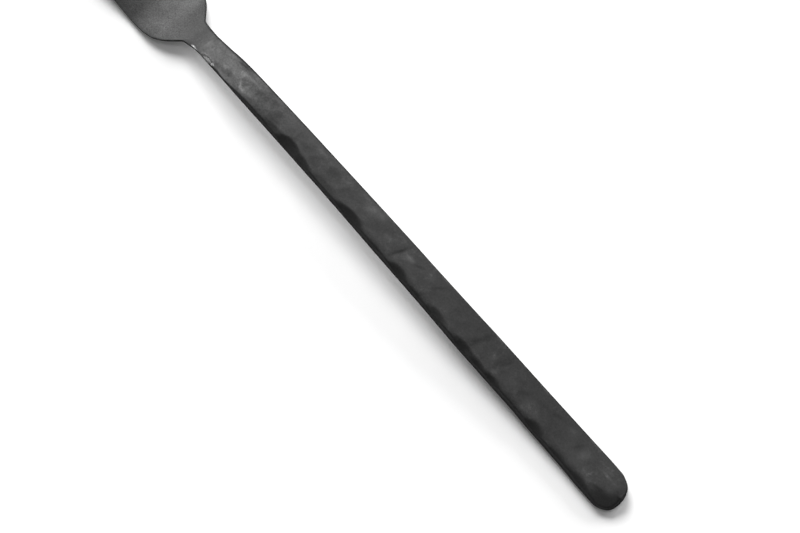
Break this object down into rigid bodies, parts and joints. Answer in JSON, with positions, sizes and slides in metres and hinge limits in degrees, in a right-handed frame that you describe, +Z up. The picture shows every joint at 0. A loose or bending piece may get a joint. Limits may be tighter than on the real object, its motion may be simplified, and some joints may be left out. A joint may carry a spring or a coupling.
{
  "type": "dinner fork",
  "caption": "Slim table fork with a dished head, long tapered tines and a hammered bar handle with a rounded end.",
  "frame": {"origin": "under the middle of the fork's length and width, on the surface that it lies on", "axes": "+X along the fork towards the tines, +Z up out of the concave side, +Y to the left seen from above"},
  "size_m": [0.21, 0.017, 0.0167],
  "materials": {
    "head_steel": "satin",
    "weld_steel": "satin",
    "handle_steel": "satin"
  },
  "bodies": {
    "root": {"head": "head_steel", "neck_weld": "weld_steel", "handle": "handle_steel"}
  },
  "joints": []
}
